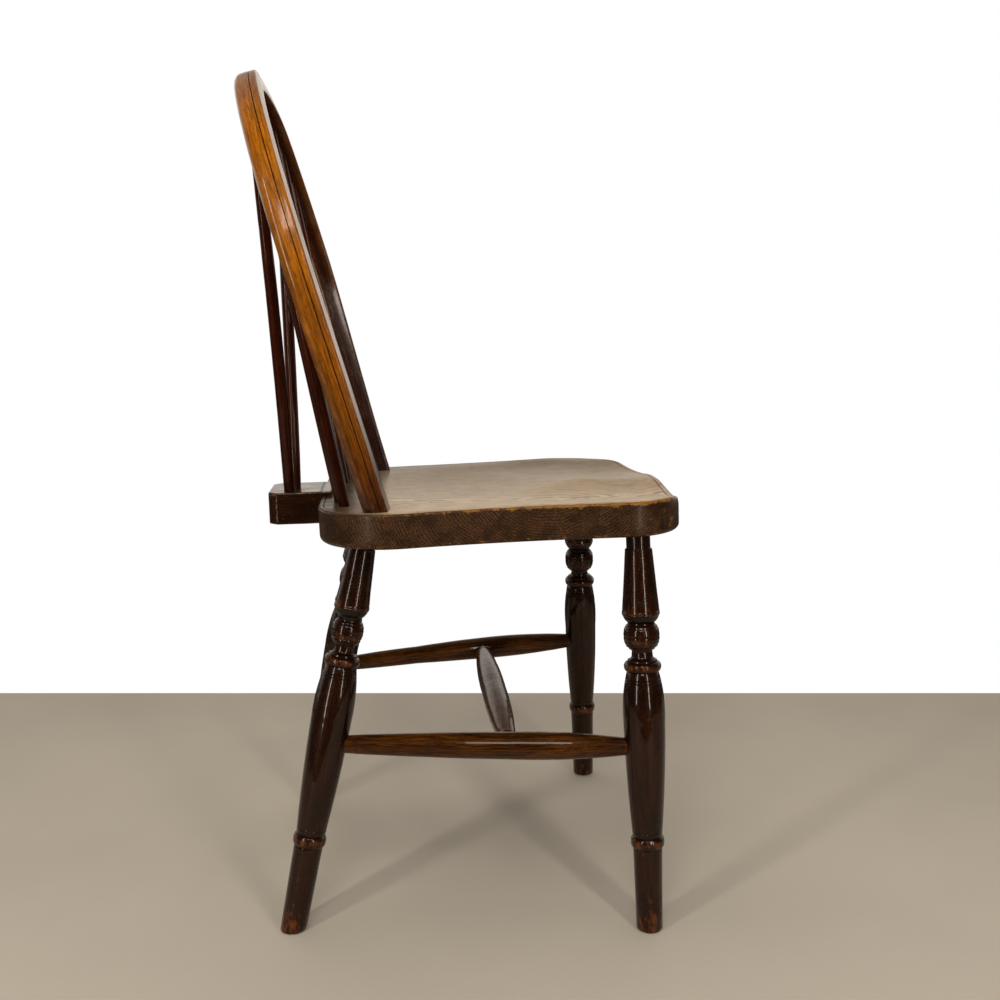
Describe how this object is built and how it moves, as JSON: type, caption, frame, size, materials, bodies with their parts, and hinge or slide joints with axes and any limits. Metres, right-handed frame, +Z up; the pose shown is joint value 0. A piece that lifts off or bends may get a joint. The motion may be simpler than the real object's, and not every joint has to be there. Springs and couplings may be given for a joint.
{
  "type": "windsor side chair",
  "caption": "Dark stained Windsor side chair with a bent bow back, pierced wheel splat, bobtail seat with brace sticks, and turned legs joined by stretchers",
  "frame": {"origin": "on the floor, in the middle of the overall width and of the overall depth", "axes": "+Z is up, the chair faces -Y, and +X is the sitter's left side"},
  "size_m": [0.4492, 0.4616, 0.9055],
  "materials": {
    "honey_ash": "satin lacquer over honey stain",
    "dark_ash": "satin lacquer over dark stain",
    "stick_brown": "glossy lacquer over red-brown stain",
    "elm_board": "waxed and worn dark stain",
    "elm_block": "waxed and worn dark stain",
    "turned_black": "glossy lacquer over near-black stain",
    "turned_brown": "glossy lacquer over red-brown stain"
  },
  "bodies": {
    "root": {"back_stick_left_inner": "stick_brown", "back_stick_left_middle": "stick_brown", "back_stick_left_outer": "stick_brown", "back_stick_right_inner": "stick_brown", "back_stick_right_middle": "stick_brown", "back_stick_right_outer": "stick_brown", "bobtail": "elm_block", "bow": "honey_ash", "bow_wedge_left": "dark_ash", "bow_wedge_right": "dark_ash", "brace_stick_left": "stick_brown", "brace_stick_right": "stick_brown", "cross_stretcher": "turned_brown", "leg_front_left": "turned_black", "leg_front_right": "turned_black", "leg_rear_left": "turned_black", "leg_rear_right": "turned_black", "seat": "elm_board", "side_stretcher_left": "turned_brown", "side_stretcher_right": "turned_brown", "wheel_splat": "dark_ash"}
  },
  "joints": []
}
